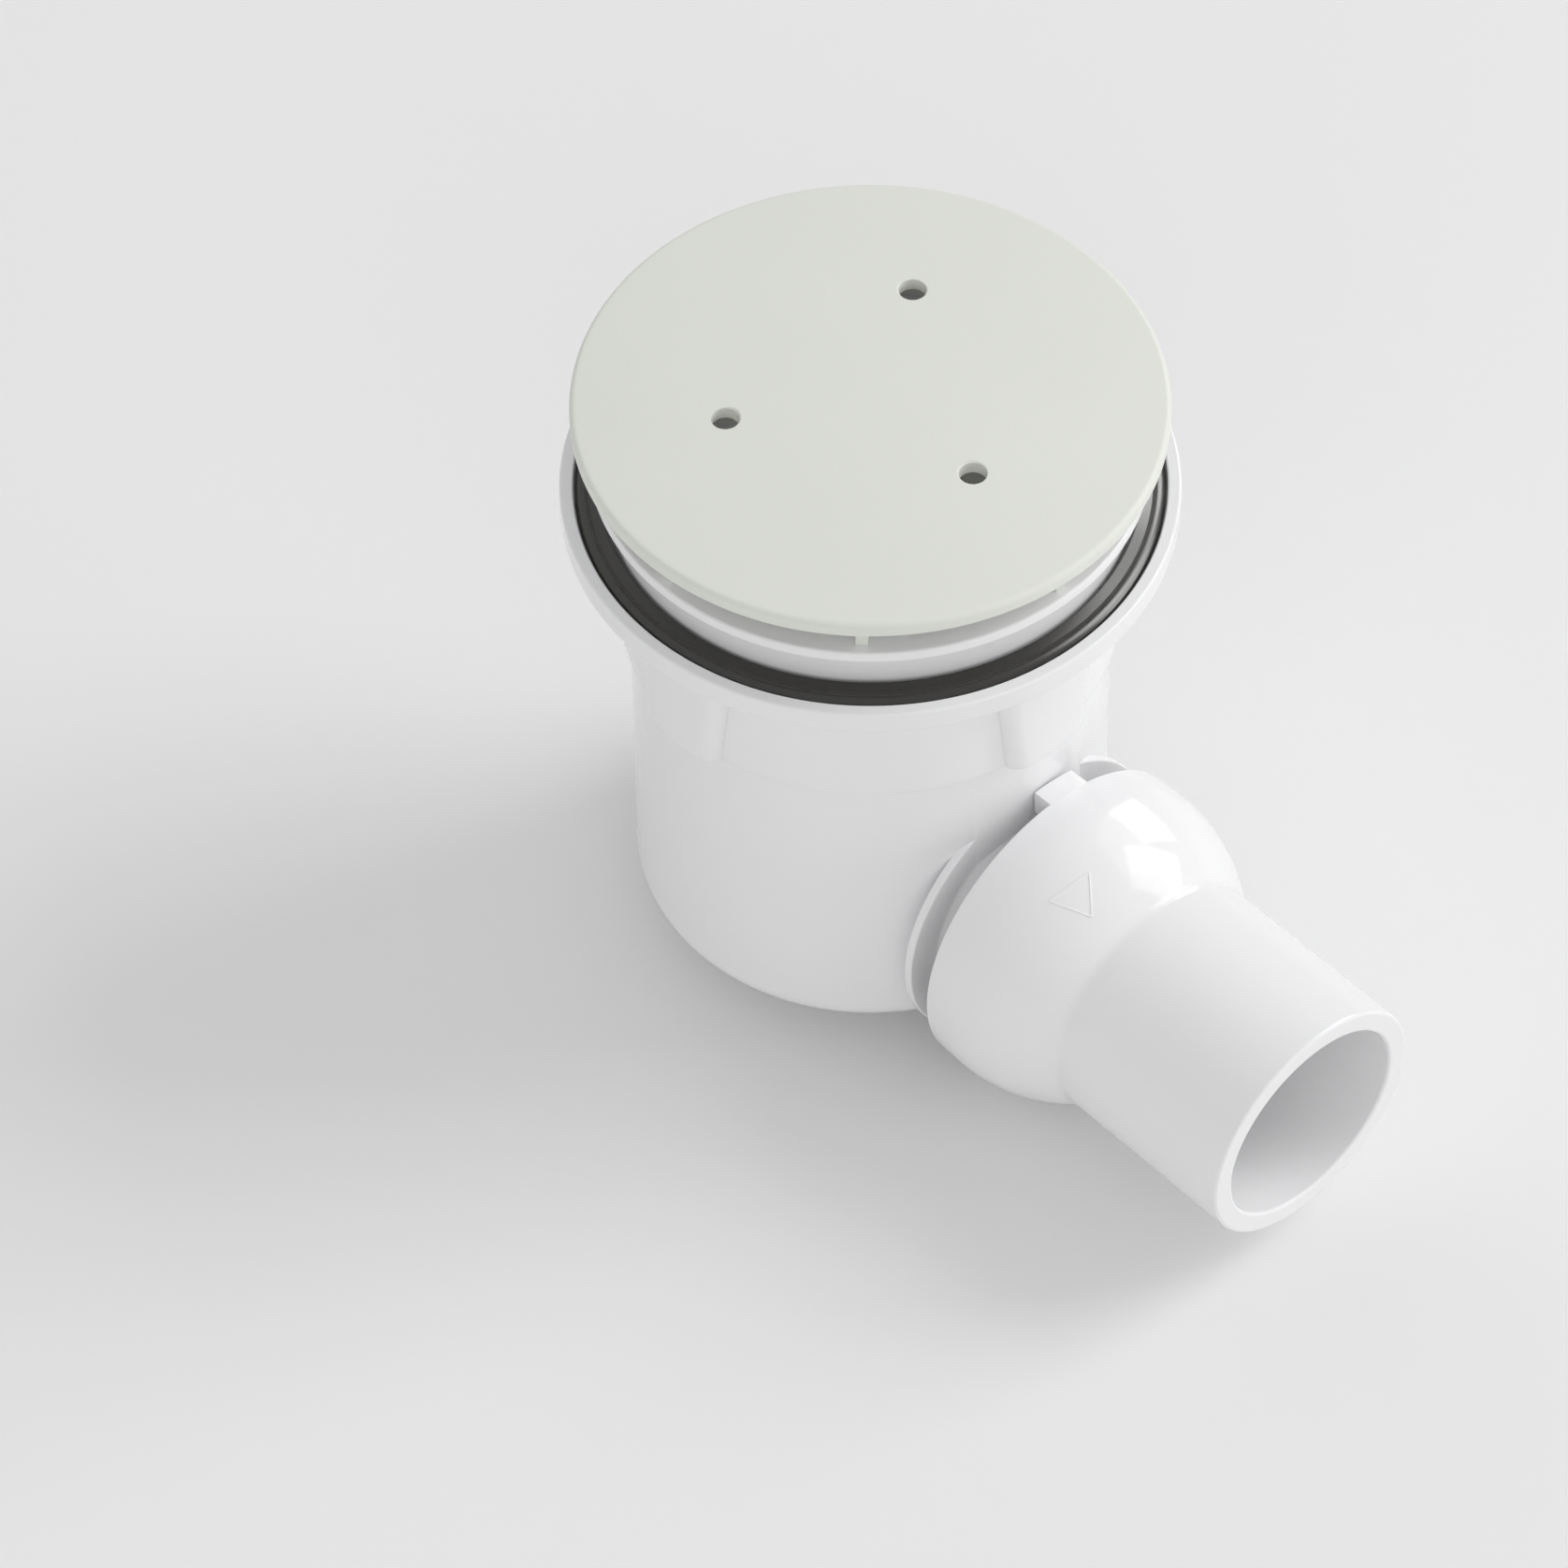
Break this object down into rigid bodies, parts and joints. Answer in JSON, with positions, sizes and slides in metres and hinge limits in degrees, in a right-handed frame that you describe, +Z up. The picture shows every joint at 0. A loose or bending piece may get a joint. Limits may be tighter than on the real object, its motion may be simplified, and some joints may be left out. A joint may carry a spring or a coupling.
{
  "type": "shower trap",
  "caption": "Shower trap with a round cover standing on a clamp ring, a cylindrical pot with a lift-out siphon, and a bayonet outlet with ball hood and pipe spigot.",
  "frame": {"origin": "on the pot's axis, in the plane of the flange's top face where the tray is clamped", "axes": "+Z up along the pot's axis, +X along the outlet away from the pot"},
  "size_m": [0.1764, 0.1148, 0.1386],
  "materials": {
    "white_plastic": "satin moulded plastic",
    "cover_plastic": "fine matt pale grey",
    "gasket_rubber": "smooth dark grey",
    "insert_plastic": "plain white moulded",
    "seal_rubber": "smooth black"
  },
  "bodies": {
    "trap": {"trap_body": "white_plastic", "clamp_ring": "white_plastic", "cover_plate": "cover_plastic", "tray_gasket": "gasket_rubber", "dip_tube": "insert_plastic", "siphon_cup": "insert_plastic", "dip_tube_seal": "seal_rubber", "outlet_seal": "seal_rubber"},
    "outlet": {"outlet_spigot": "white_plastic"}
  },
  "joints": [
    {"name": "outlet_turn", "type": "hinge", "parent": "trap", "child": "outlet", "pos_m": [0.0663, 0, -0.0818], "axis": [1, 0, 0], "range_deg": [-60, 0]}
  ]
}
